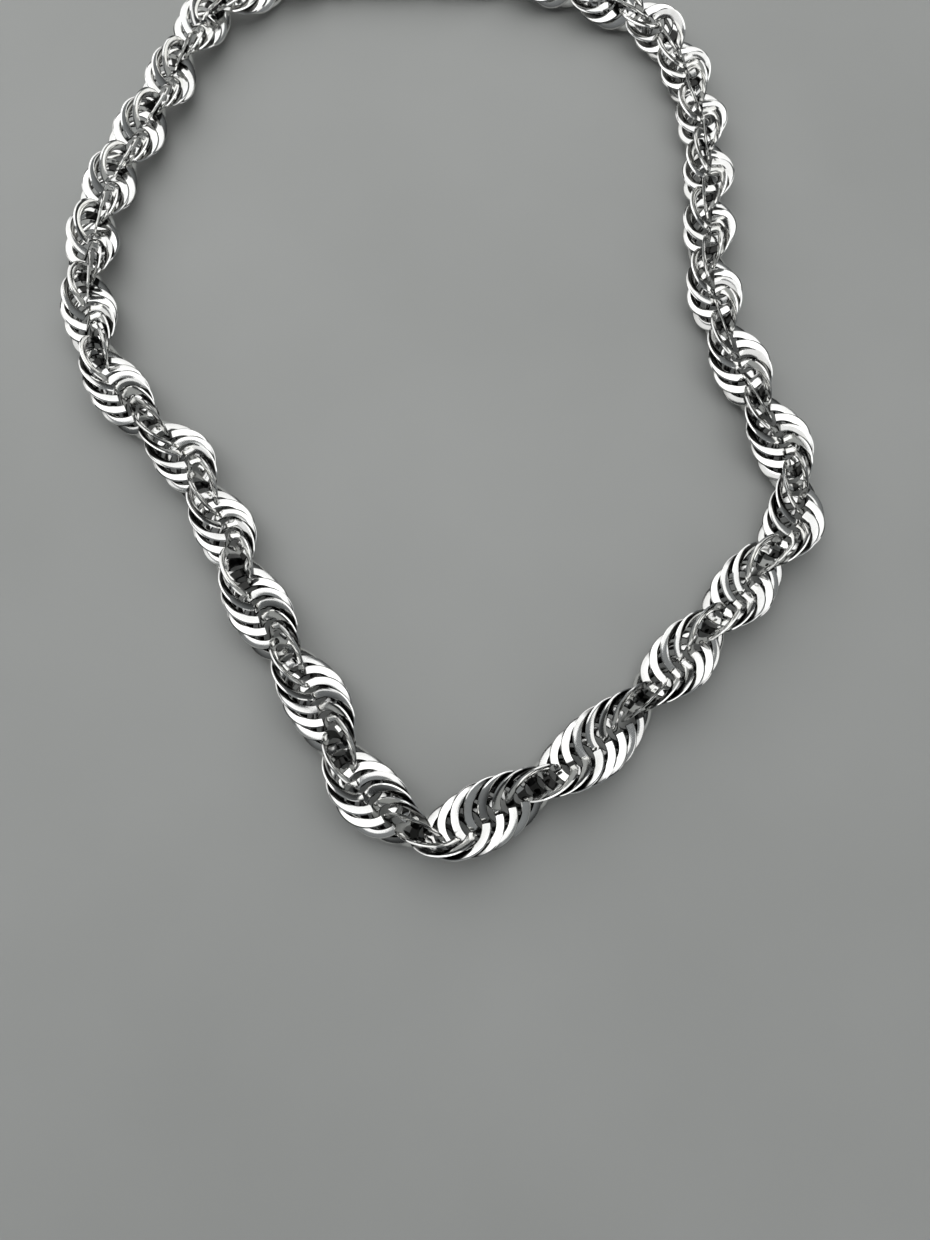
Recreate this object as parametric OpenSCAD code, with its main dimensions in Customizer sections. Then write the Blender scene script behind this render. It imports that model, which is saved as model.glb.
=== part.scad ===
// Graduated rope chain necklace, lying flat and fastened at the back.
// Millimetres. The front of the necklace faces -Y, up is +Z, the surface is Z = 0.

/* [Chain] */
// Width of the rope at the front of the loop, across a lobe, in mm.
front_width = 10.3; // [7:0.1:14]
// Width of the rope beside the clasp, across a lobe, in mm.
back_width = 8.6; // [6:0.1:12]
// Thickness of the rope between two lobes, as a share of its width.
waist_share = 0.52; // [0.4:0.01:0.8]
// Length along the rope of one lobe at the front, in mm.
front_lobe = 20.2; // [12:0.1:26]
// Length along the rope of one lobe beside the clasp, in mm.
back_lobe = 10.6; // [7:0.1:20]
// Angle of the twist where the rope starts, in degrees.
twist_start = 279; // [0:1:359]

/* [Loop] */
// Width of the loop, measured between the middles of the rope, in mm.
loop_width = 119.5; // [90:0.5:200]
// Length of the loop from the front to the clasp, measured the same way, in mm.
loop_length = 163.5; // [120:0.5:260]

/* [End caps] */
// Length of one end cap without its stud, in mm.
cap_length = 6; // [4:0.1:10]
// Depth of the cup that holds the rope's end, in mm.
cap_depth = 3; // [2:0.1:6]
// Thickness of the cup's wall, in mm.
cap_wall = 0.55; // [0.3:0.05:1.5]
// Width of the cap at its clasp end, in mm.
cap_neck_width = 5; // [4:0.1:8]
// Width of the stud that enters the clasp, in mm.
stud_width = 3; // [1.5:0.1:4]
// Length of the stud inside the clasp, in mm.
stud_length = 1.8; // [1:0.1:3]

/* [Clasp] */
// Length of the clasp's barrel, in mm.
clasp_length = 12; // [8:0.5:20]
// Width of the clasp's barrel, in mm.
clasp_width = 7.8; // [5:0.1:12]

/* [Hidden] */
// Free space kept between two pieces.
fit_gap = 0.2;
// Bevel on the rims of the metal ends.
rim_bevel = 0.4;
// Sides of the rope's section, and sections on each stretch between two route points.
rope_sides = 10;
span_steps = 7;
// The middle of the clasp on the route's drawing, and its height above the first route point.
clasp_x = -9;
clasp_rise = 2.5;
// How much of the front lobe's extra length a lobe has, by its share of the way along the rope.
lobe_shares = [[0, 0.25], [0.12, 0.07], [0.2, 0.13], [0.26, 0.43], [0.32, 0.55], [0.38, 0.37], [0.44, 0.96], [0.48, 1.35], [0.52, 0.77], [0.56, 0.72], [0.62, 0.64], [0.68, 0.39], [0.74, 0.74], [0.78, 0.42], [0.82, 0.05], [0.88, 0.26], [1, 0.08]];

// Heights and radii that follow from the sizes above.
front_half = front_width / 2;
back_half = back_width / 2;
cap_radius = back_half;
bore_radius = cap_radius - cap_wall;
end_half = bore_radius - fit_gap;
clasp_y = loop_length;
cap_back = clasp_length / 2 + fit_gap;
cap_rim = cap_back + cap_length;
rope_end = cap_rim - cap_depth + 2 * fit_gap;

// Route of the rope from the right cap, round the front, to the left cap.
// The front is close to 0, 0 and the points are on the drawing.
drawn_route = [
  [16, 161],
  [28.5, 156.5],
  [41, 148.5],
  [47, 136],
  [49, 121],
  [48.5, 106],
  [48.5, 91],
  [52.5, 76],
  [58, 62],
  [59, 50],
  [50, 38],
  [38, 25],
  [25, 12.5],
  [10, 3],
  [0, -0.5],
  [-10, 6],
  [-18.5, 21],
  [-28, 35.5],
  [-35, 50.5],
  [-42.5, 62],
  [-53, 72.5],
  [-59, 85.5],
  [-60.5, 97.5],
  [-59.5, 109.5],
  [-55.5, 121.5],
  [-50, 134.5],
  [-46, 146],
  [-40.5, 154],
  [-32.5, 159]
];
drawn_x = [for (p = drawn_route) p[0]];
sx = loop_width / (max(drawn_x) - min(drawn_x));
sy = loop_length / (drawn_route[0][1] + clasp_rise);
route = concat(
  [[clasp_x * sx + rope_end, clasp_y], [clasp_x * sx + cap_rim + 1, clasp_y]],
  [for (p = drawn_route) [p[0] * sx, p[1] * sy]],
  [[clasp_x * sx - cap_rim - 1, clasp_y], [clasp_x * sx - rope_end, clasp_y]]
);
spans = len(route) - 1;

// A smooth curve through the route points.
function route_point(i) = i < 0 ? 2 * route[0] - route[1] : i > spans ? 2 * route[spans] - route[spans - 1] : route[i];
function curve(a, b, c, d, t) = 0.5 * (2 * b + (c - a) * t + (2 * a - 5 * b + 4 * c - d) * t * t + (3 * b - a - 3 * c + d) * t * t * t);
line = concat(
  [for (i = [0:spans - 1]) for (k = [0:span_steps - 1]) curve(route_point(i - 1), route_point(i), route_point(i + 1), route_point(i + 2), k / span_steps)],
  [route[spans]]
);
last = len(line) - 1;

// Length along the curve up to each of its points.
run = [for (i = 0, s = 0; i <= last; s = s + (i < last ? norm(line[i + 1] - line[i]) : 0), i = i + 1) s];
total = run[last];

// Share of the way from the front of the loop to the clasp, from 0 to 1.
function away(s) = abs(2 * s / total - 1);
function half_width(s) = front_half + (back_half - front_half) * away(s);
function lobe(s) = back_lobe + (front_lobe - back_lobe) * lookup(s / total, lobe_shares);
// The rope draws in at both ends to enter the caps.
function near_end(s) = min(s, total - s);
function half_here(s) = min(half_width(s), end_half + max(0, near_end(s) - cap_depth) * 0.25);
twist = [for (i = 0, a = twist_start; i <= last; a = a + (i < last ? 180 * (run[i + 1] - run[i]) / lobe((run[i + 1] + run[i]) / 2) : 0), i = i + 1) a];

// Unit vector along the curve, and the one to its left.
function along(i) = let (d = line[min(last, i + 1)] - line[max(0, i - 1)]) d / norm(d);
function left(i) = [-along(i)[1], along(i)[0]];

// One corner of the section at point i, on a flat oval that turns with the twist.
function corner(i, j) = let (
  a = half_here(run[i]),
  p = a * cos(360 * j / rope_sides),
  q = a * waist_share * sin(360 * j / rope_sides),
  side = p * cos(twist[i]) - q * sin(twist[i]),
  up = p * sin(twist[i]) + q * cos(twist[i])
) [
  line[i][0] + left(i)[0] * side,
  line[i][1] + left(i)[1] * side,
  half_width(run[i]) + up
];
raw_points = [for (i = [0:last]) for (j = [0:rope_sides - 1]) corner(i, j)];

// The whole necklace is moved so that the middle of its base is the origin.
raw_x = [for (p = raw_points) p[0]];
raw_y = [for (p = raw_points) p[1]];
move_x = -(max(raw_x) + min(raw_x)) / 2;
move_y = -(max(max(raw_y), clasp_y + cap_radius) + min(raw_y)) / 2;
rope_points = [for (p = raw_points) [p[0] + move_x, p[1] + move_y, p[2]]];
rope_faces = concat(
  [[for (j = [0:rope_sides - 1]) j]],
  [for (i = [0:last - 1]) for (j = [0:rope_sides - 1]) [i * rope_sides + j, (i + 1) * rope_sides + j, (i + 1) * rope_sides + (j + 1) % rope_sides]],
  [for (i = [0:last - 1]) for (j = [0:rope_sides - 1]) [i * rope_sides + j, (i + 1) * rope_sides + (j + 1) % rope_sides, i * rope_sides + (j + 1) % rope_sides]],
  [[for (j = [rope_sides - 1:-1:0]) last * rope_sides + j]]
);

// Colours of the drawing only.
silver = [0.80, 0.81, 0.82];
shade = [0.70, 0.71, 0.73];

// The twisted rope of links, as one closed solid of its outer shape.
module rope_chain() {
  color(silver) polyhedron(points = rope_points, faces = rope_faces, convexity = 10);
}

// A cup for the rope's end with a stud for the clasp, standing on its stud end.
module end_cap() {
  neck = cap_neck_width / 2;
  stud = stud_width / 2;
  foot = -fit_gap - stud_length;
  shoulder = (cap_length - cap_depth) * 0.7;
  rotate_extrude($fn = 64) polygon([
    [0, foot],
    [stud, foot],
    [stud, 0],
    [neck, 0],
    [cap_radius, shoulder],
    [cap_radius, cap_length - rim_bevel / 2],
    [cap_radius - rim_bevel / 2, cap_length],
    [bore_radius, cap_length],
    [bore_radius, cap_length - cap_depth],
    [0, cap_length - cap_depth]
  ]);
}

module end_cap_right() {
  color(shade) translate([clasp_x * sx + cap_back + move_x, clasp_y + move_y, cap_radius]) rotate([0, 90, 0]) end_cap();
}

module end_cap_left() {
  color(shade) translate([clasp_x * sx - cap_back + move_x, clasp_y + move_y, cap_radius]) rotate([0, -90, 0]) end_cap();
}

// A plain barrel with a socket for a stud at each end.
module clasp() {
  radius = clasp_width / 2;
  half = clasp_length / 2;
  socket = stud_width / 2 + fit_gap;
  floor = half - stud_length - fit_gap;
  color(silver) translate([clasp_x * sx + move_x, clasp_y + move_y, cap_radius]) rotate([0, 90, 0]) rotate_extrude($fn = 64) polygon([
    [0, -floor],
    [socket, -floor],
    [socket, -half],
    [radius - rim_bevel, -half],
    [radius, rim_bevel - half],
    [radius, half - rim_bevel],
    [radius - rim_bevel, half],
    [socket, half],
    [socket, floor],
    [0, floor]
  ]);
}

rope_chain();
end_cap_right();
end_cap_left();
clasp();
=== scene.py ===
"""Visual model of a graduated rope chain necklace that lies flat on a pale floor.

The rope's twisted solid is replaced by its real make: about two hundred flat
C-shaped links, set one by one along the same route. The end caps and the
clasp are turned pieces in the same places as their solids. The scene is in
metres, and the necklace's own sizes are in millimetres.
"""

import logging
import math
from dataclasses import dataclass, field
from enum import Enum
from typing import Sequence

import bpy
import numpy as np
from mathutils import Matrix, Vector


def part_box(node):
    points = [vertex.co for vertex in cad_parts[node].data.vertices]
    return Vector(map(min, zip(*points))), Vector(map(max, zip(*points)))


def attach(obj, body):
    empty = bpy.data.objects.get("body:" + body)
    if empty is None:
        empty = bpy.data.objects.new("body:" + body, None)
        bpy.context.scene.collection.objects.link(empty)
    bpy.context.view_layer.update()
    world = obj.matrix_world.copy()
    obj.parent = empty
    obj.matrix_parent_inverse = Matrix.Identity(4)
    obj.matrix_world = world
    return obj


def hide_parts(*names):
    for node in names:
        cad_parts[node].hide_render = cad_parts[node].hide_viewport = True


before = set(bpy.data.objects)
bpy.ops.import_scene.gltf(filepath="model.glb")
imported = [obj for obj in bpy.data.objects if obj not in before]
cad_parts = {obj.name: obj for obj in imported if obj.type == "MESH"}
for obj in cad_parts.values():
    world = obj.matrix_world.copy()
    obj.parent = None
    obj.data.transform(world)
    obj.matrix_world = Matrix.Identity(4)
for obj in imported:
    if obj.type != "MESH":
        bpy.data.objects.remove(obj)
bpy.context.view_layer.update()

LOG = logging.getLogger("rope_chain")
MM = 0.001
BODY = "root"
GOLDEN_ANGLE = math.pi * (3 - math.sqrt(5))

Colour = tuple[float, float, float]
Socket = bpy.types.NodeSocket

DRAWN_ROUTE = (
    (16, 161), (28.5, 156.5), (41, 148.5), (47, 136), (49, 121),
    (48.5, 106), (48.5, 91), (52.5, 76), (58, 62), (59, 50),
    (50, 38), (38, 25), (25, 12.5), (10, 3), (0, -0.5),
    (-10, 6), (-18.5, 21), (-28, 35.5), (-35, 50.5), (-42.5, 62),
    (-53, 72.5), (-59, 85.5), (-60.5, 97.5), (-59.5, 109.5), (-55.5, 121.5),
    (-50, 134.5), (-46, 146), (-40.5, 154), (-32.5, 159),
)
LOBE_SHARES = (
    (0, 0.25), (0.12, 0.07), (0.2, 0.13), (0.26, 0.43), (0.32, 0.55), (0.38, 0.37),
    (0.44, 0.96), (0.48, 1.35), (0.52, 0.77), (0.56, 0.72), (0.62, 0.64), (0.68, 0.39),
    (0.74, 0.74), (0.78, 0.42), (0.82, 0.05), (0.88, 0.26), (1, 0.08),
)


class Slot(Enum):
    """The record's material slots."""

    CHAIN = "chain_silver"
    FITTING = "fitting_silver"


class Side(Enum):
    """Which end of the rope an end cap closes, as its direction from the clasp."""

    RIGHT = 1
    LEFT = -1


@dataclass(frozen=True)
class NecklaceSizes:
    """Sizes that the source gives, in millimetres."""

    front_half: float = 5.15
    back_half: float = 4.3
    front_lobe: float = 20.2
    back_lobe: float = 10.6
    twist_start: float = 279.0
    loop_width: float = 119.5
    loop_length: float = 163.5
    cap_length: float = 6.0
    cap_depth: float = 3.0
    cap_wall: float = 0.55
    cap_neck: float = 2.5
    stud: float = 1.5
    stud_length: float = 1.8
    clasp_length: float = 12.0
    clasp_radius: float = 3.9
    clasp_x: float = -9.0
    clasp_rise: float = 2.5
    fit_gap: float = 0.2

    @property
    def end_half(self) -> float:
        """Half the rope's width inside an end cap."""
        return self.back_half - self.cap_wall - self.fit_gap

    @property
    def cap_back(self) -> float:
        """Distance from the clasp's middle to an end cap's back."""
        return self.clasp_length / 2 + self.fit_gap


class NodeBoard:
    """A material's node tree, with short calls to add and join nodes."""

    def __init__(self, name: str) -> None:
        """Starts a board that holds a shader and an output.

        Args:
            name: The material's name.
        """
        self.material = bpy.data.materials.new(name)
        self.material.use_nodes = True
        self.tree = self.material.node_tree
        self.tree.nodes.clear()
        self.shader = self.tree.nodes.new("ShaderNodeBsdfPrincipled")
        output = self.tree.nodes.new("ShaderNodeOutputMaterial")
        self.join(self.shader.outputs["BSDF"], output.inputs["Surface"])

    def add(self, kind: str, **values: object) -> bpy.types.Node:
        """Adds a node.

        Args:
            kind: The node's Blender type, without its leading "ShaderNode".
            values: Node properties, or input values by socket name with
                underscores for spaces.

        Returns:
            The new node.
        """
        node = self.tree.nodes.new("ShaderNode" + kind)
        for key, value in values.items():
            if hasattr(node, key):
                setattr(node, key, value)
            else:
                node.inputs[key.replace("_", " ")].default_value = value
        return node

    def join(self, source: Socket, target: Socket) -> None:
        """Joins an output to an input."""
        self.tree.links.new(source, target)

    def ramp(
        self, source: Socket, low: tuple[float, Colour], high: tuple[float, Colour]
    ) -> Socket:
        """Maps a value to a colour between two others.

        Args:
            source: The value, from 0 to 1.
            low: The value up to which the first colour shows, and that colour.
            high: The value from which the second colour shows, and that colour.

        Returns:
            The colour output.
        """
        node = self.add("ValToRGB")
        for element, (place, colour) in zip(node.color_ramp.elements, (low, high)):
            element.position = place
            element.color = (*colour, 1.0)
        self.join(source, node.inputs["Fac"])
        return node.outputs["Color"]

    def blend(self, share: Socket, under: Socket, over: Colour) -> Socket:
        """Blends a colour into a plain colour.

        Args:
            share: How much of the plain colour shows, from 0 to 1.
            under: The first colour.
            over: The plain colour.

        Returns:
            The colour output.
        """
        node = self.add("Mix", data_type="RGBA")
        sockets = {s.name: s for s in node.inputs if s.enabled}
        self.join(share, sockets["Factor"])
        self.join(under, sockets["A"])
        sockets["B"].default_value = (*over, 1.0)
        return next(s for s in node.outputs if s.enabled)

    def spread(self, source: Socket, low: float, high: float) -> Socket:
        """Maps 0 to 1 onto another span.

        Args:
            source: The value, from 0 to 1.
            low: What 0 becomes.
            high: What 1 becomes.

        Returns:
            The value's output.
        """
        node = self.add("MapRange", To_Min=low, To_Max=high)
        self.join(source, node.inputs["Value"])
        return node.outputs["Result"]

    def noise(
        self, place: Socket, scale: float, detail: float, roughness: float = 0.5
    ) -> Socket:
        """Adds a noise.

        Args:
            place: Where each point lies in the noise.
            scale: How fine it is.
            detail: How many finer layers it has.
            roughness: How strong the finer layers are.

        Returns:
            The noise, from 0 to 1.
        """
        node = self.add("TexNoise", Scale=scale, Detail=detail, Roughness=roughness)
        self.join(place, node.inputs["Vector"])
        return node.outputs["Fac"]

    def scratch(self, height: Socket, share: float, depth: float) -> None:
        """Scratches the shader's surface.

        Args:
            height: How high the surface stands, from 0 to 1.
            share: How much of the scratches shows.
            depth: How deep they are, in metres.
        """
        node = self.add("Bump", Strength=share, Distance=depth)
        self.join(height, node.inputs["Height"])
        self.join(node.outputs["Normal"], self.shader.inputs["Normal"])


@dataclass(frozen=True)
class PolishedSilver:
    """Mirror-polished silver with hairline scratches and recesses darkened by painted
    shade.

    Painted shade, a near-black colour, sets in where a point is closed in by more than
    start, and covers it wholly 1 / rise further on.
    """

    name: str = "polished_silver"
    warm: Colour = (0.86, 0.855, 0.83)
    bright: Colour = (0.93, 0.93, 0.915)
    warm_to: float = 0.35
    bright_from: float = 0.62
    painted_shade: Colour = (0.03, 0.03, 0.029)
    start: float = 0.36
    rise: float = 3.2
    smoothest: float = 0.045
    roughest: float = 0.16
    cloud_scale: float = 420.0
    wear_scale: float = 1900.0
    hair_scale: float = 2600.0
    hair_stretch: tuple[float, float, float] = (1.0, 9.0, 1.0)
    hair_turn: tuple[float, float, float] = (0.3, 0.2, 0.7)
    hair_share: float = 0.05
    hair_depth: float = 0.00004

    def build(self) -> bpy.types.Material:
        """Builds the material, which reads how closed in each point is and paints shade
        there.

        Returns:
            The material.
        """
        board = NodeBoard(self.name)
        place = board.add("TexCoord").outputs["Object"]
        cloud = board.noise(place, self.cloud_scale, detail=4.0, roughness=0.6)
        tint = board.ramp(
            cloud, (self.warm_to, self.warm), (self.bright_from, self.bright)
        )
        painted_shade_mask = board.add("Attribute", attribute_name="painted_shade_mask")
        low, high = -self.start * self.rise, (1 - self.start) * self.rise
        closed = board.spread(painted_shade_mask.outputs["Fac"], low, high)
        # Painted shade: a near-black colour mixed in by how closed in each point is.
        dark = board.blend(closed, tint, self.painted_shade)
        board.join(dark, board.shader.inputs["Base Color"])
        wear = board.noise(place, self.wear_scale, detail=3.0, roughness=0.55)
        board.join(
            board.spread(wear, self.smoothest, self.roughest),
            board.shader.inputs["Roughness"],
        )
        turn = board.add("Mapping", Scale=self.hair_stretch, Rotation=self.hair_turn)
        board.join(place, turn.inputs["Vector"])
        hair = board.noise(
            turn.outputs["Vector"], self.hair_scale, detail=5.0, roughness=0.7
        )
        board.scratch(hair, self.hair_share, self.hair_depth)
        board.shader.inputs["Metallic"].default_value = 1.0
        return board.material


@dataclass(frozen=True)
class TurnedSilver:
    """Silver polished on a lathe, with fine rings round its axis."""

    name: str = "turned_silver"
    dull: Colour = (0.74, 0.735, 0.72)
    bright: Colour = (0.92, 0.92, 0.905)
    dull_to: float = 0.3
    bright_from: float = 0.6
    smoothest: float = 0.07
    roughest: float = 0.17
    cloud_scale: float = 700.0
    ring_scale: float = 9000.0
    ring_squeeze: tuple[float, float, float] = (1.0, 0.02, 0.02)
    ring_share: float = 0.045
    ring_depth: float = 0.00003

    def build(self) -> bpy.types.Material:
        """Builds the material, with its rings across the X axis.

        Returns:
            The material.
        """
        board = NodeBoard(self.name)
        place = board.add("TexCoord").outputs["Object"]
        cloud = board.noise(place, self.cloud_scale, detail=4.0, roughness=0.6)
        tint = board.ramp(
            cloud, (self.dull_to, self.dull), (self.bright_from, self.bright)
        )
        board.join(tint, board.shader.inputs["Base Color"])
        board.join(
            board.spread(cloud, self.smoothest, self.roughest),
            board.shader.inputs["Roughness"],
        )
        squeeze = board.add("Mapping", Scale=self.ring_squeeze)
        board.join(place, squeeze.inputs["Vector"])
        rings = board.noise(
            squeeze.outputs["Vector"], self.ring_scale, detail=3.0, roughness=0.6
        )
        board.scratch(rings, self.ring_share, self.ring_depth)
        board.shader.inputs["Metallic"].default_value = 1.0
        return board.material


@dataclass(frozen=True)
class PaleFloor:
    """A plain pale matt surface with a faint mottle."""

    name: str = "pale_floor"
    shade: Colour = (0.39, 0.397, 0.385)
    light: Colour = (0.425, 0.432, 0.42)
    shade_to: float = 0.3
    light_from: float = 0.7
    cloud_scale: float = 18.0
    roughness: float = 0.6

    def build(self) -> bpy.types.Material:
        """Builds the material.

        Returns:
            The material.
        """
        board = NodeBoard(self.name)
        place = board.add("TexCoord").outputs["Object"]
        cloud = board.noise(place, self.cloud_scale, detail=3.0)
        tint = board.ramp(
            cloud, (self.shade_to, self.shade), (self.light_from, self.light)
        )
        board.join(tint, board.shader.inputs["Base Color"])
        board.shader.inputs["Roughness"].default_value = self.roughness
        return board.material


def mesh_object(
    name: str,
    points: np.ndarray,
    faces: Sequence[np.ndarray],
    sharp_above: float = 30.0,
) -> bpy.types.Object:
    """Makes a smooth-shaded mesh object and links it to the scene.

    Args:
        name: The object's name.
        points: Vertex positions, one row each.
        faces: Arrays of faces, each with one number of corners.
        sharp_above: Edges that turn by more than this many degrees stay crisp.

    Returns:
        The new object.
    """
    mesh = bpy.data.meshes.new(name)
    corners = np.concatenate([f.ravel() for f in faces])
    totals = np.concatenate([np.full(len(f), f.shape[1]) for f in faces])
    starts = np.concatenate([[0], np.cumsum(totals)[:-1]])
    mesh.vertices.add(len(points))
    mesh.vertices.foreach_set("co", points.astype(np.float32).ravel())
    mesh.loops.add(len(corners))
    mesh.loops.foreach_set("vertex_index", corners.astype(np.int32))
    mesh.polygons.add(len(totals))
    mesh.polygons.foreach_set("loop_start", starts.astype(np.int32))
    mesh.polygons.foreach_set("loop_total", totals.astype(np.int32))
    mesh.update(calc_edges=True)
    mesh.polygons.foreach_set("use_smooth", np.ones(len(totals), dtype=bool))
    mesh.set_sharp_from_angle(angle=math.radians(sharp_above))
    made = bpy.data.objects.new(name, mesh)
    bpy.context.scene.collection.objects.link(made)
    return made


def finish_piece(
    piece: bpy.types.Object,
    material: bpy.types.Material,
    nodes: Sequence[str],
) -> None:
    """Gives a piece its material, and says what it rides on and stands for.

    Args:
        piece: The piece, already in place.
        material: Its material.
        nodes: The solids that it stands for.
    """
    piece.data.materials.append(material)
    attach(piece, BODY)
    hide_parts(*nodes)
    mesh = piece.data
    mesh.calc_loop_triangles()
    LOG.info("%s: %d triangles", piece.name, len(mesh.loop_triangles))


@dataclass
class RopeRoute:
    """The line through the middle of the rope, with its width and twist.

    The line leaves each end cap straight on by lead_in. Its direction is taken
    over the distance look on both sides of a place. Both are in millimetres.
    """

    sizes: NecklaceSizes
    steps: int = 40
    lead_in: float = 1.0
    entry_slope: float = 0.25
    look: float = 0.4
    points: np.ndarray = field(init=False)
    run: np.ndarray = field(init=False)
    turn: np.ndarray = field(init=False)

    def __post_init__(self) -> None:
        """Draws the line and measures it."""
        knots = self._knots()
        padded = np.vstack(
            [2 * knots[0] - knots[1], knots, 2 * knots[-1] - knots[-2]]
        )
        t = np.linspace(0, 1, self.steps, endpoint=False)[:, None]
        spans = [self._span(*padded[i : i + 4], t) for i in range(len(knots) - 1)]
        self.points = np.vstack([*spans, knots[-1:]])
        legs = np.linalg.norm(np.diff(self.points, axis=0), axis=1)
        self.run = np.concatenate([[0], np.cumsum(legs)])
        middle = (self.run[1:] + self.run[:-1]) / 2
        turns = np.cumsum(180 * legs / self.lobe(middle))
        self.turn = self.sizes.twist_start + np.concatenate([[0], turns])

    @property
    def length(self) -> float:
        """The rope's length, in millimetres."""
        return float(self.run[-1])

    @property
    def clasp_middle(self) -> tuple[float, float]:
        """The clasp's middle on the drawing."""
        scale = self.sizes.loop_width / np.ptp([x for x, _ in DRAWN_ROUTE])
        return self.sizes.clasp_x * scale, self.sizes.loop_length

    def _knots(self) -> np.ndarray:
        """Places the route's points.

        Returns:
            Points from the right end cap round the front to the left one.
        """
        size = self.sizes
        drawn = np.array(DRAWN_ROUTE, dtype=float)
        sx = size.loop_width / np.ptp(drawn[:, 0])
        sy = size.loop_length / (drawn[0, 1] + size.clasp_rise)
        x, y = self.clasp_middle
        rim = size.cap_back + size.cap_length
        end = rim - size.cap_depth + 2 * size.fit_gap
        free = rim + self.lead_in
        return np.vstack(
            [
                [[x + end, y], [x + free, y]],
                drawn * (sx, sy),
                [[x - free, y], [x - end, y]],
            ]
        )

    @staticmethod
    def _span(
        a: np.ndarray, b: np.ndarray, c: np.ndarray, d: np.ndarray, t: np.ndarray
    ) -> np.ndarray:
        """Draws a smooth curve between two points.

        Args:
            a: The point before the curve.
            b: The curve's start.
            c: The curve's end.
            d: The point after the curve.
            t: Places on the curve, from 0 to 1, as a column.

        Returns:
            The points at those places.
        """
        return 0.5 * (
            2 * b
            + (c - a) * t
            + (2 * a - 5 * b + 4 * c - d) * t**2
            + (3 * b - a - 3 * c + d) * t**3
        )

    def lobe(self, s: np.ndarray) -> np.ndarray:
        """Measures one lobe.

        Args:
            s: Lengths along the rope.

        Returns:
            How long a lobe is at each of them.
        """
        places, shares = zip(*LOBE_SHARES)
        share = np.interp(s / self.length, places, shares)
        back, front = self.sizes.back_lobe, self.sizes.front_lobe
        return back + (front - back) * share

    def away(self, s: np.ndarray) -> np.ndarray:
        """Share of the way from the front of the loop to the clasp."""
        return np.abs(2 * s / self.length - 1)

    def half_width(self, s: np.ndarray) -> np.ndarray:
        """Half the rope's free width at a place along it."""
        size = self.sizes
        return size.front_half + (size.back_half - size.front_half) * self.away(s)

    def half_here(self, s: np.ndarray) -> np.ndarray:
        """Measures half the rope's width, drawn in where it enters the end caps.

        Args:
            s: Lengths along the rope.

        Returns:
            Half the width at each of them.
        """
        free = np.maximum(0, np.minimum(s, self.length - s) - self.sizes.cap_depth)
        drawn_in = self.sizes.end_half + free * self.entry_slope
        return np.minimum(self.half_width(s), drawn_in)

    def on_line(self, s: np.ndarray) -> np.ndarray:
        """Points on the line at lengths along it."""
        line = self.points.T
        return np.stack([np.interp(s, self.run, values) for values in line], axis=1)

    def place(self, s: np.ndarray) -> tuple[np.ndarray, np.ndarray, np.ndarray]:
        """Finds places along the rope.

        Args:
            s: Lengths along the rope.

        Returns:
            Points, unit directions along the rope, and twist in degrees.
        """
        along = self.on_line(s + self.look) - self.on_line(s - self.look)
        along /= np.linalg.norm(along, axis=1, keepdims=True)
        return self.on_line(s), along, np.interp(s, self.run, self.turn)


@dataclass(frozen=True)
class LinkForm:
    """One flat C-shaped link.

    Lengths are shares of its mean radius. The gap is in degrees, and end_bevel,
    which is how far the bevel on a cut end runs round the link, in radians.
    """

    pitch: float = 0.50
    back_pitch: float = 0.60
    fan: float = 0.84
    strip: float = 0.32
    back_growth: float = 0.6
    thickness: float = 0.10
    crown: float = 0.012
    chamfer: float = 0.034
    gap: float = 22.0
    segments: int = 88
    end_bevel: float = 0.012
    end_shrink: float = 0.72

    def growth(self, away: np.ndarray) -> np.ndarray:
        """How much stouter the strip is at a share of the way to the clasp."""
        return 1 + self.back_growth * away**2

    def reach(self, away: np.ndarray) -> np.ndarray:
        """Outer radius of a link of mean radius 1 at a share of the way back."""
        return 1 + self.strip * self.growth(away) / 2

    def spacing(self, away: np.ndarray) -> np.ndarray:
        """Distance between two links at a share of the way back."""
        return self.pitch + (self.back_pitch - self.pitch) * away**2

    def section(self) -> np.ndarray:
        """Draws the strip's outline.

        Returns:
            Points outward from the mean radius and across: the upper face, the
            outer rim, the lower face and the inner rim.
        """
        r, o, c, k = self.strip / 2, self.thickness / 2, self.chamfer, self.crown
        face = [(-r + c, o - k), (-r / 3, o), (r / 3, o), (r - c, o - k)]
        rim = [(r, o - k - c), (r + k / 2, 0), (r, k + c - o)]
        back = [(p, -q) for p, q in reversed(face)]
        bore = [(-r, k + c - o), (-r - k / 2, 0), (-r, o - k - c)]
        return np.array(face + rim + back + bore)

    @property
    def sides(self) -> np.ndarray:
        """The side on which each point of the outline lies, from 0 to 3."""
        return np.repeat([0, 1, 2, 3], [4, 3, 4, 3])


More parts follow.
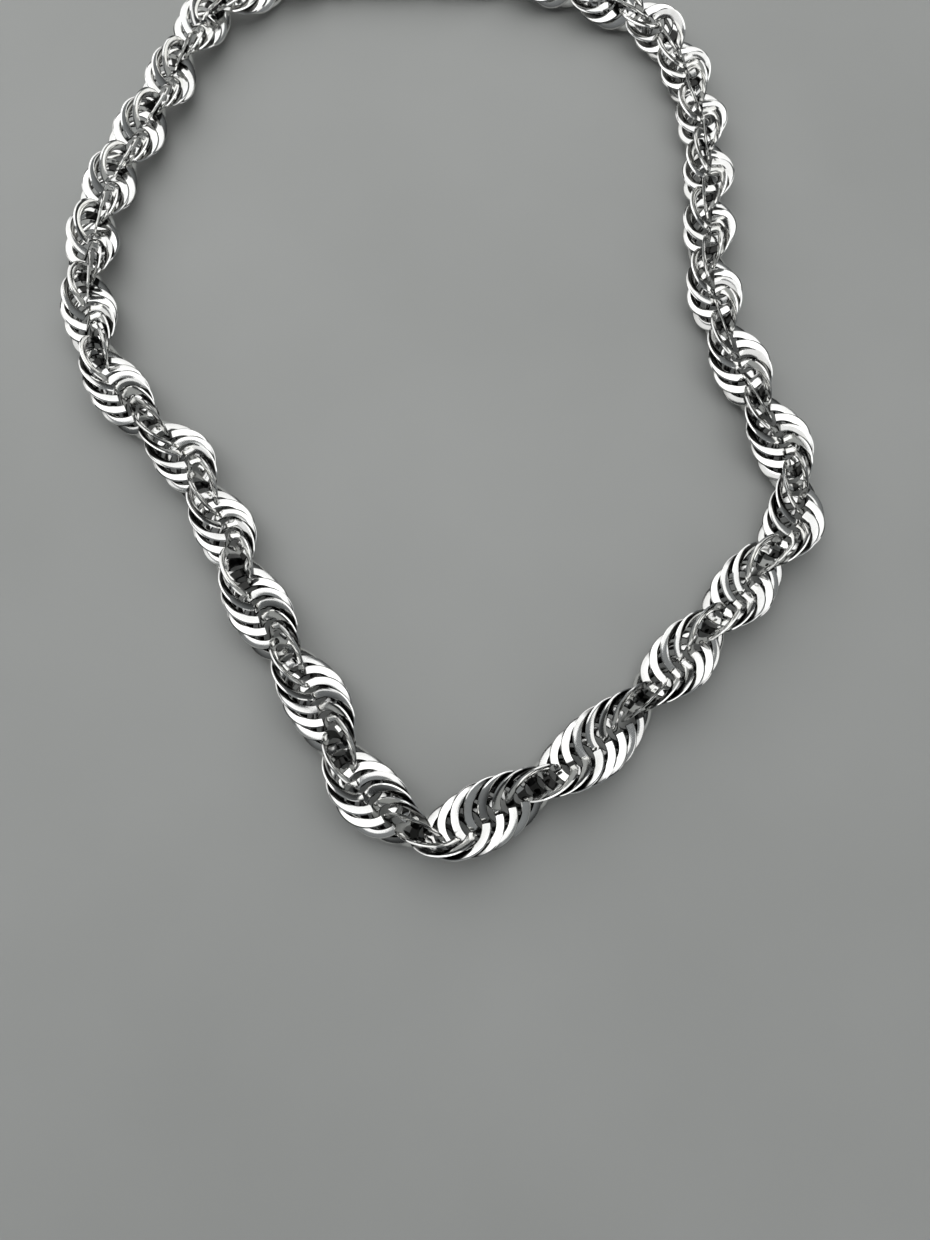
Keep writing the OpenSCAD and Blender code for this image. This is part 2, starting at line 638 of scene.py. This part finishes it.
@dataclass
class RopeChain:
    """The rope of links that stands for the rope's solid.

    How closed in a place is sets how much painted shade darkens its colour. A
    place is closed in by the links that its rays meet, as far as reach_links
    away, and by floor_share where a ray goes down, which paints shade where a
    place faces the floor; rim_painted_shade more painted shade goes on the rims. More
    painted shade fills the rope's core, core_share of its half width, and
    window_share more where a window between two lobes is. In it, unshaded_links
    of all links are left bright, and back_shade_fade lifts the shade towards the
    clasp.
    """

    route: RopeRoute
    move: Vector
    form: LinkForm = field(default_factory=LinkForm)
    samples: int = 4000
    stretches: int = 4
    sharp_above: float = 26.0
    unevenness: float = 1.3
    seed: int = 11
    lobe_spread: float = 0.06
    lobe_shift: float = 5.0
    lobe_limit: float = 1.6
    rays: int = 48
    ring_step: int = 4
    ray_lift: float = 0.01
    level_slope: float = 1e-4
    reach_links: int = 8
    floor_share: float = 0.55
    rim_painted_shade: float = 0.13
    core_share: float = 0.08
    window_share: float = 0.40
    core_fade: float = 0.10
    unshaded_links: float = 0.42
    unshaded_jitter: float = 0.6
    unshaded_gain: float = 0.9
    back_shade_fade: float = 0.3
    node: str = "rope_chain"

    def places(self) -> np.ndarray:
        """Spaces the links out.

        Returns:
            Lengths along the rope at which the links have their middles.
        """
        end = self.route.sizes.end_half
        s = np.linspace(end, self.route.length - end, self.samples)
        away = self.route.away(s)
        radius = self.route.half_here(s) / self.form.reach(away)
        spacing = self.form.spacing(away) * radius
        count = np.concatenate([[0], np.cumsum(np.diff(s) / spacing[1:])])
        return np.interp(np.linspace(0, count[-1], round(count[-1]) + 1), count, s)

    def links(self) -> tuple[np.ndarray, np.ndarray]:
        """Builds every link's points.

        The links of one lobe fan out like a hand of cards, by less than their
        half turn, which leaves a window between two lobes.

        Returns:
            Points as (link, ring of the strip, corner, xyz), in metres, and
            how much painted shade each corner gets, from 0 to 1.
        """
        form, s = self.form, self.places()
        point, along, twist = self.route.place(s)
        away = self.route.away(s)
        radius = self.route.half_here(s) / form.reach(away)
        centre = np.column_stack([point, self.route.half_width(s)])
        x = np.column_stack([along, np.zeros(len(s))])
        normal = self.normals(x, twist)
        spoke = self.spokes(x, normal)
        shrink = np.ones(spoke.shape[1])
        shrink[[0, -1]] = form.end_shrink
        section = form.growth(away)[:, None, None] * form.section()
        outward = 1 + shrink[:, None] * section[:, None, :, 0]
        across = shrink[:, None] * section[:, None, :, 1]
        body = spoke[:, :, None, :] * outward[..., None]
        body = body + normal[:, None, None, :] * across[..., None]
        offset = radius[:, None, None, None] * body
        # How much the other links close each corner in, the base of its painted shade.
        closed = self.painted_shade_mask(centre, normal, radius, spoke)
        # More painted shade in the rope's core, lifted on some links, and less towards
        # the clasp.
        core, unshaded = self.core(s, x, offset)
        lit = closed * (1 - self.unshaded_gain * core)
        closed = np.where(unshaded[:, None, None], lit, np.maximum(closed, core))
        closed *= (1 - self.back_shade_fade * away**2)[:, None, None]
        return (centre[:, None, None, :] + offset) * MM, closed

    def normals(self, x: np.ndarray, twist: np.ndarray) -> np.ndarray:
        """Turns each link's plane round the rope.

        A lobe is half a turn long, with its middle where the rope lies flat.

        Args:
            x: Unit directions along the rope.
            twist: The rope's twist at each link, in degrees.

        Returns:
            Unit directions square to the links.
        """
        draws = np.random.default_rng(self.seed).normal(0, 1, (len(x), 2))
        wobble = np.radians(self.unevenness * draws)
        lobes = np.floor((twist + 90) / 180).astype(int)
        share, shift = self.lobe_draws(lobes)
        lean = self.form.fan * share * ((twist + 90) % 180 - 90) + shift
        angle = np.radians(-lean) + wobble[:, 0]
        tilt = math.pi / 2 + wobble[:, 1]
        y = np.column_stack([-x[:, 1], x[:, 0], x[:, 2]])
        u = np.sin(angle)[:, None] * y + np.cos(angle)[:, None] * [0.0, 0.0, 1.0]
        return np.cos(tilt)[:, None] * x + np.sin(tilt)[:, None] * u

    def spokes(self, x: np.ndarray, normal: np.ndarray) -> np.ndarray:
        """Draws the directions in which each link's strip lies.

        Args:
            x: Unit directions along the rope.
            normal: Unit directions square to the links.

        Returns:
            Unit directions as (link, ring of the strip, xyz). The first and the
            last are at the link's gap, which faces the rope's start.
        """
        form = self.form
        first = np.sum(x * normal, axis=1, keepdims=True) * normal - x
        first /= np.linalg.norm(first, axis=1, keepdims=True)
        second = np.cross(normal, first)
        half_gap = math.radians(form.gap) / 2
        start, stop = half_gap, 2 * math.pi - half_gap
        sweep = np.linspace(start, stop, form.segments + 1)
        sweep = np.concatenate(
            [[start - form.end_bevel], sweep, [stop + form.end_bevel]]
        )
        return (
            np.cos(sweep)[None, :, None] * first[:, None, :]
            + np.sin(sweep)[None, :, None] * second[:, None, :]
        )

    def lobe_draws(self, lobes: np.ndarray) -> tuple[np.ndarray, np.ndarray]:
        """Draws how the links of each lobe fan out.

        Args:
            lobes: The number of each link's lobe.

        Returns:
            For each link, its lobe's share of the usual fan, and its lobe's
            shift in degrees.
        """
        random = np.random.default_rng(self.seed + 2)
        draws = random.normal(0, 1, (lobes.max() + 1, 2))
        draws = np.clip(draws, -self.lobe_limit, self.lobe_limit)[lobes]
        return 1 + self.lobe_spread * draws[:, 0], self.lobe_shift * draws[:, 1]

    def core(
        self, s: np.ndarray, x: np.ndarray, offset: np.ndarray
    ) -> tuple[np.ndarray, np.ndarray]:
        """Finds how much painted shade each place gets from lying in the core of the
        rope.

        Args:
            s: Lengths along the rope of the links' middles.
            x: Unit directions along the rope.
            offset: The links' corners, from the links' middles.

        Returns:
            A share of painted shade for each corner, from 0 outside to 1 in the
            core, and which links are left without it.
        """
        ahead = np.einsum("lijk,lk->lij", offset, x)
        across = offset - ahead[..., None] * x[:, None, None, :]
        across = np.linalg.norm(across, axis=3) / self.route.half_here(s)[:, None, None]
        here = s[:, None, None] + ahead
        turn = np.radians(np.interp(here, self.route.run, self.route.turn))
        window = np.sin(turn) ** 4
        edge = self.core_share + self.window_share * window
        share = np.clip((edge - across) / self.core_fade, 0, 1)
        draws = np.random.default_rng(self.seed + 1).random(len(s))
        turns = (np.arange(len(s)) + self.unshaded_jitter * draws) * self.unshaded_links
        return share, turns % 1 < self.unshaded_links

    def painted_shade_mask(
        self,
        centre: np.ndarray,
        normal: np.ndarray,
        radius: np.ndarray,
        spoke: np.ndarray,
    ) -> np.ndarray:
        """Finds how much the other links close in each place on the links, which sets
        the painted shade there.

        Rays leave the four sides of every few rings of a strip, evenly in all
        directions, and the rings between take a value between.

        Args:
            centre: Middles of the links.
            normal: Unit directions square to the links.
            radius: Mean radii of the links.
            spoke: Unit directions from a link's middle to each ring of its strip.

        Returns:
            The closed share of the room above each corner, with painted shade
            added on the rims, as (link, ring of the strip, corner).
        """
        form = self.form
        last = spoke.shape[1] - 1
        some = np.unique(np.append(np.arange(0, last + 1, self.ring_step), last))
        out = spoke[:, some]
        up = np.broadcast_to(normal[:, None, :], out.shape)
        facing = np.stack([up, out, -up, -out], axis=2)
        half = np.tile([form.thickness / 2, form.strip / 2], 2)
        spots = out[:, :, None, :] + facing * (half + self.ray_lift)[:, None]
        spots = centre[:, None, None, :] + radius[:, None, None, None] * spots
        turns = np.arange(self.rays) * GOLDEN_ANGLE
        heights = 1 - (2 * np.arange(self.rays) + 1) / self.rays
        side = np.sqrt(1 - heights**2)
        rays = np.column_stack([np.cos(turns) * side, np.sin(turns) * side, heights])
        closed = np.zeros(spots.shape[:3])
        room = np.zeros(spots.shape[:3])
        count = len(centre)
        steps = [s for s in range(-self.reach_links, self.reach_links + 1) if s]
        for ray in rays:
            weight = np.maximum(facing @ ray, 0)
            hit = np.zeros(spots.shape[:3], dtype=bool)
            for step in steps:
                near = np.clip(np.arange(count) + step, 0, count - 1)
                n, c, r = normal[near], centre[near], radius[near]
                slope = n @ ray
                level = np.abs(slope) < self.level_slope
                slope = np.where(level, self.level_slope, slope)
                gap = np.einsum("lk,lijk->lij", n, c[:, None, None, :] - spots)
                far = gap / slope[:, None, None]
                meets = spots + far[..., None] * ray - c[:, None, None, :]
                away = np.linalg.norm(meets, axis=3) / r[:, None, None]
                hit |= (far > 0) & (np.abs(away - 1) < form.strip / 2)
            # Rays that go down count partly as closed, which paints shade where a place
            # faces the floor.
            closed += weight * np.maximum(hit, self.floor_share * (ray[2] < 0))
            room += weight
        share = closed / room
        # Painted shade along the outer and inner rims, which darkens the lines between
        # links.
        share[:, :, (1, 3)] += self.rim_painted_shade
        whole = np.arange(spoke.shape[1])
        low = np.clip(np.searchsorted(some, whole, side="right") - 1, 0, len(some) - 2)
        part = ((whole - some[low]) / (some[low + 1] - some[low]))[None, :, None]
        share = share[:, low] * (1 - part) + share[:, low + 1] * part
        return share[:, :, form.sides]

    def build(self, material: bpy.types.Material) -> list[bpy.types.Object]:
        """Builds the rope as a few joined meshes.

        Args:
            material: The links' finish.

        Returns:
            The pieces, from the right end cap to the left one.
        """
        points, closed = self.links()
        points = points + np.array([self.move.x, self.move.y, 0.0])
        rings, corners = points.shape[1:3]
        ring = np.arange(rings - 1)[:, None] * corners
        after = ring + corners
        corner = np.arange(corners)
        following = (corner + 1) % corners
        quads = np.stack(
            [ring + corner, after + corner, after + following, ring + following], axis=2
        ).reshape(-1, 4)
        ends = np.stack([corner, (rings - 1) * corners + corner[::-1]])
        pieces = []
        stretches = np.array_split(np.arange(len(points)), self.stretches)
        for number, chosen in enumerate(stretches):
            base = np.arange(len(chosen))[:, None, None] * rings * corners
            piece = mesh_object(
                f"rope_links_{number + 1}",
                points[chosen].reshape(-1, 3),
                [(base + quads).reshape(-1, 4), (base + ends).reshape(-1, corners)],
                self.sharp_above,
            )
            # The painted shade mask, which the links' material reads.
            layer = piece.data.attributes.new("painted_shade_mask", "FLOAT", "POINT")
            layer.data.foreach_set("value", closed[chosen].astype(np.float32).ravel())
            finish_piece(piece, material, [self.node])
            pieces.append(piece)
        LOG.info("rope: %d links over %.0f mm", len(points), self.route.length)
        return pieces


def soften(
    profile: Sequence[tuple[float, float]],
    radius: float,
    most: float = 0.45,
    steps: int = 4,
) -> np.ndarray:
    """Rounds a profile's corners.

    Args:
        profile: Points as (distance along the axis, radius).
        radius: How far from a corner its rounding starts.
        most: The share of a straight line that one rounding takes at most.
        steps: Points on each rounding.

    Returns:
        The rounded profile, with its first and last points kept.
    """
    points = np.array(profile, dtype=float)
    made = [points[0]]
    t = np.linspace(0, 1, steps)[:, None]
    for before, here, after in zip(points, points[1:], points[2:]):
        back, ahead = before - here, after - here
        legs = np.linalg.norm(back), np.linalg.norm(ahead)
        cut = min(radius, most * min(legs))
        start = here + back / legs[0] * cut
        stop = here + ahead / legs[1] * cut
        made.extend((1 - t) ** 2 * start + 2 * t * (1 - t) * here + t**2 * stop)
    made.append(points[-1])
    return np.array(made)


def turned_object(
    name: str,
    profile: np.ndarray,
    middle: Vector,
    direction: int = 1,
    sides: int = 112,
    sharp_above: float = 32.0,
) -> bpy.types.Object:
    """Turns a profile about a line along X.

    Args:
        name: The object's name.
        profile: Points as (distance along, radius), in millimetres, on the axis
            at both ends.
        middle: The point on the axis at distance 0, in metres.
        direction: 1 if distances run towards +X, and -1 if towards -X.
        sides: Faces round the axis.
        sharp_above: Edges that turn by more than this many degrees stay crisp.

    Returns:
        The new object.
    """
    angles = np.linspace(0, 2 * math.pi, sides, endpoint=False)
    profile = profile * (direction, 1)
    inner = profile[1:-1]
    rings = np.stack(
        [
            np.broadcast_to(inner[:, :1], (len(inner), sides)),
            inner[:, 1:] * np.cos(angles),
            inner[:, 1:] * np.sin(angles),
        ],
        axis=2,
    ).reshape(-1, 3)
    poles = [[profile[0, 0], 0, 0], [profile[-1, 0], 0, 0]]
    points = np.vstack([rings, poles]) * MM + np.array(middle)
    here = np.arange(sides)
    after = (here + 1) % sides
    row = np.arange(len(inner) - 1)[:, None] * sides
    quads = np.stack(
        [row + here, row + after, row + sides + after, row + sides + here], axis=2
    ).reshape(-1, 4)
    last = (len(inner) - 1) * sides
    first_fan = np.stack([np.full(sides, len(rings)), after, here], axis=1)
    last_fan = np.stack(
        [np.full(sides, len(rings) + 1), last + here, last + after], axis=1
    )
    faces = [quads, first_fan, last_fan]
    if direction < 0:
        faces = [f[:, ::-1] for f in faces]
    return mesh_object(name, points, faces, sharp_above)


@dataclass
class EndCap:
    """A turned cup that holds one end of the rope, with a stud for the clasp.

    Its rounded back runs through three points. The foot is a distance along and
    a radius beyond the neck's. The flank and the shoulder are each a share of the
    cap's solid length and a radius short of the outer one.
    """

    sizes: NecklaceSizes
    side: Side
    middle: Vector
    edge: float = 0.3
    foot: tuple[float, float] = (0.55, 0.25)
    flank: tuple[float, float] = (0.434, 0.62)
    shoulder: tuple[float, float] = (0.7, 0.12)
    shoulder_run: float = 0.5
    groove_inset: float = 1.1
    groove_half: float = 0.2
    groove_depth: float = 0.16

    def profile(self) -> list[tuple[float, float]]:
        """Draws the cap's outline.

        Returns:
            Points as (distance along, radius), from the tip of the cap's stud to
            the floor of its cup.
        """
        size = self.sizes
        outer, bore = size.back_half, size.back_half - size.cap_wall
        tip, floor = -size.fit_gap - size.stud_length, size.cap_length - size.cap_depth
        groove = size.cap_length - self.groove_inset
        return [
            (tip, 0),
            (tip, size.stud),
            (0, size.stud),
            (0, size.cap_neck),
            (self.foot[0], size.cap_neck + self.foot[1]),
            (floor * self.flank[0], outer - self.flank[1]),
            (floor * self.shoulder[0], outer - self.shoulder[1]),
            (floor * self.shoulder[0] + self.shoulder_run, outer),
            (groove - self.groove_half, outer),
            (groove, outer - self.groove_depth),
            (groove + self.groove_half, outer),
            (size.cap_length, outer),
            (size.cap_length, bore),
            (floor, bore),
            (floor, 0),
        ]

    def build(self, material: bpy.types.Material) -> bpy.types.Object:
        """Builds the cap.

        Args:
            material: The cap's finish.

        Returns:
            The cap, in its place.
        """
        direction = self.side.value
        back = self.middle + Vector((self.sizes.cap_back * MM * direction, 0, 0))
        word = self.side.name.lower()
        piece = turned_object(
            f"cap_{word}", soften(self.profile(), self.edge), back, direction
        )
        finish_piece(piece, material, [f"end_cap_{word}"])
        return piece


@dataclass
class Clasp:
    """A plain barrel clasp with a socket at each end."""

    sizes: NecklaceSizes
    middle: Vector
    edge: float = 0.45
    rim: float = 0.4
    groove_insets: tuple[float, ...] = (1.5, 2.3)
    groove_half: float = 0.2
    groove_depth: float = 0.18

    def profile(self) -> list[tuple[float, float]]:
        """Draws the barrel's outline.

        Returns:
            Points as (distance along, radius), from the floor of one socket to
            the other's.
        """
        size = self.sizes
        half, outer = size.clasp_length / 2, size.clasp_radius
        socket = size.stud + size.fit_gap
        floor = half - size.stud_length - size.fit_gap
        end = [
            (floor, 0),
            (floor, socket),
            (half, socket),
            (half, outer - self.rim),
            (half - self.rim, outer),
        ]
        for inset in self.groove_insets:
            groove = half - inset
            end.append((groove + self.groove_half, outer))
            end.append((groove, outer - self.groove_depth))
            end.append((groove - self.groove_half, outer))
        return [(-x, r) for x, r in end] + end[::-1]

    def build(self, material: bpy.types.Material) -> bpy.types.Object:
        """Builds the clasp.

        Args:
            material: The clasp's finish.

        Returns:
            The clasp, in its place.
        """
        profile = soften(self.profile(), self.edge)
        piece = turned_object("barrel_clasp", profile, self.middle)
        finish_piece(piece, material, ["clasp"])
        return piece


@dataclass(frozen=True)
class Softbox:
    """A soft rectangular studio light that faces the origin."""

    name: str
    place: tuple[float, float, float]
    width: float
    height: float
    radiance: float

    def build(self) -> bpy.types.Object:
        """Builds the light.

        Returns:
            The light, in its place.
        """
        light = bpy.data.lights.new(self.name, "AREA")
        light.shape = "RECTANGLE"
        light.size, light.size_y = self.width, self.height
        light.energy = self.radiance * math.pi * self.width * self.height
        made = bpy.data.objects.new(self.name, light)
        bpy.context.scene.collection.objects.link(made)
        made.location = self.place
        made.rotation_mode = "QUATERNION"
        made.rotation_quaternion = Vector(self.place).to_track_quat("Z", "Y")
        return made


@dataclass
class Studio:
    """The floor, the lights and the camera.

    The room's light grows from the first of room_strengths to the second, as a
    direction rises from the first of room_heights to the second. All lengths are
    in metres, apart from camera_offset.
    """

    drawing_origin: Vector
    floor_half: float = 1.6
    floor_drop: float = 0.00002
    focal_share: float = 1000 / 1240
    sensor: float = 36.0
    camera_offset: tuple[float, float, float] = (5.23, -8.37, 157.6)
    camera_tilt: float = 15.0
    clip: tuple[float, float] = (0.005, 10.0)
    room_colour: Colour = (0.86, 0.90, 0.92)
    room_heights: tuple[float, float] = (0.05, 0.85)
    room_strengths: tuple[float, float] = (0.03, 0.24)
    softboxes: tuple[Softbox, ...] = (
        Softbox("softbox_top", (-0.06, 0.20, 0.42), 0.80, 0.96, 0.9),
        Softbox("softbox_key", (-0.08, 0.08, 0.40), 0.42, 0.44, 0.35),
        Softbox("softbox_right", (0.55, -0.25, 0.30), 0.30, 0.40, 0.9),
        Softbox("softbox_left", (-0.62, 0.10, 0.26), 0.34, 0.50, 0.75),
    )

    def build(self) -> None:
        """Builds the whole studio."""
        self._floor()
        for softbox in self.softboxes:
            softbox.build()
        self._world()
        self._camera()

    def _floor(self) -> None:
        """Lays the floor just under the necklace."""
        h, z = self.floor_half, -self.floor_drop
        points = np.array([[-h, -h, z], [h, -h, z], [h, h, z], [-h, h, z]])
        floor = mesh_object("studio_floor", points, [np.array([[0, 1, 2, 3]])])
        floor.data.materials.append(PaleFloor().build())

    def _world(self) -> None:
        """Fills the room with a dim light that fades towards its foot."""
        world = bpy.data.worlds.new("studio_world")
        bpy.context.scene.world = world
        world.use_nodes = True
        nodes, links = world.node_tree.nodes, world.node_tree.links
        background = nodes["Background"]
        background.inputs["Color"].default_value = (*self.room_colour, 1.0)
        split = nodes.new("ShaderNodeSeparateXYZ")
        links.new(nodes.new("ShaderNodeTexCoord").outputs["Generated"], split.inputs[0])
        height = nodes.new("ShaderNodeMapRange")
        height.interpolation_type = "SMOOTHSTEP"
        names = ("From Min", "From Max", "To Min", "To Max")
        for name, value in zip(names, self.room_heights + self.room_strengths):
            height.inputs[name].default_value = value
        links.new(split.outputs["Z"], height.inputs["Value"])
        links.new(height.outputs["Result"], background.inputs["Strength"])

    def _camera(self) -> None:
        """Sets the camera where the photograph was taken from."""
        data = bpy.data.cameras.new("photo_camera")
        data.sensor_width = self.sensor
        data.lens = self.sensor * self.focal_share
        data.clip_start, data.clip_end = self.clip
        camera = bpy.data.objects.new("photo_camera", data)
        bpy.context.scene.collection.objects.link(camera)
        camera.location = Vector(self.camera_offset) * MM + self.drawing_origin
        camera.rotation_euler = (math.radians(self.camera_tilt), 0.0, 0.0)
        bpy.context.scene.camera = camera


def main() -> None:
    """Builds the necklace and its studio."""
    logging.basicConfig(level=logging.INFO, format="%(message)s")
    sizes = NecklaceSizes()
    route = RopeRoute(sizes)
    low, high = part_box("clasp")
    middle = (low + high) / 2
    drawn_x, drawn_y = route.clasp_middle
    move = Vector((middle.x - drawn_x * MM, middle.y - drawn_y * MM, 0.0))
    RopeChain(route, move).build(PolishedSilver().build())
    turned = TurnedSilver().build()
    for side in Side:
        EndCap(sizes, side, middle).build(turned)
    Clasp(sizes, middle).build(turned)
    Studio(move).build()
    bpy.context.scene.view_settings.view_transform = "Standard"


if __name__ == "__main__":
    main()
